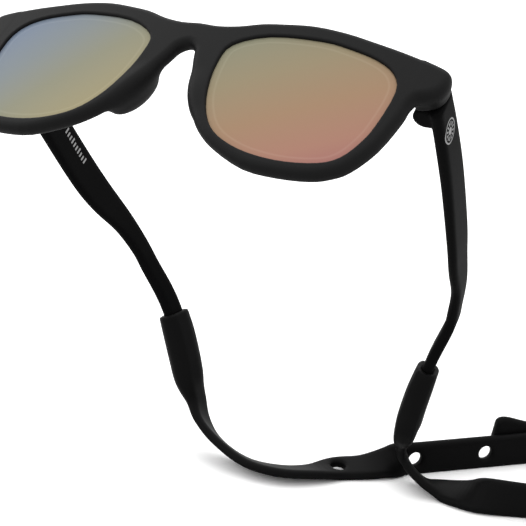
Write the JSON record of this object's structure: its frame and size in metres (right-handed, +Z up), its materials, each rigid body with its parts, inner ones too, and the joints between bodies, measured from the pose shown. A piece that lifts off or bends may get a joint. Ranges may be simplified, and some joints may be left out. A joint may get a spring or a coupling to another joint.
{
  "type": "sunglasses with a head strap",
  "caption": "Child's full-rim sunglasses with mirrored lenses, hinged arms and a soft strap that joins the arm tips behind the head.",
  "frame": {"origin": "middle of the bottom of the whole part's box, on the surface that the strap rests on", "axes": "+Z up, square to the surface that the strap rests on; +X to the wearer's left, along the longest side; +Y from the front of the spectacles towards the strap"},
  "size_m": [0.1798, 0.1642, 0.1441],
  "materials": {
    "frame_black": "soft matte with a very fine grain",
    "arm_black": "soft matte with a very fine grain",
    "lens_cool": "mirror coated, blue at the top to yellow at the bottom",
    "lens_warm": "mirror coated, olive at the top to pink at the bottom",
    "pin_steel": "plain",
    "strap_black": "matte silicone"
  },
  "bodies": {
    "front": {"front_frame": "frame_black", "lens_right": "lens_cool", "lens_left": "lens_warm", "hinge_pin_right": "pin_steel", "hinge_pin_left": "pin_steel"},
    "right_arm": {"arm_right": "arm_black", "strap_right": "strap_black"},
    "left_arm": {"arm_left": "arm_black", "strap_left": "strap_black"}
  },
  "joints": [
    {"name": "right_hinge", "type": "hinge", "parent": "front", "child": "right_arm", "pos_m": [-0.08505, -0.04541, 0.12827], "axis": [0, -0.809, -0.5878], "range_deg": [0, 80], "deforming": ["strap_right"]},
    {"name": "left_hinge", "type": "hinge", "parent": "front", "child": "left_arm", "pos_m": [0.02935, -0.04541, 0.12827], "axis": [0, 0.809, 0.5878], "range_deg": [0, 62], "deforming": ["strap_left"]}
  ]
}
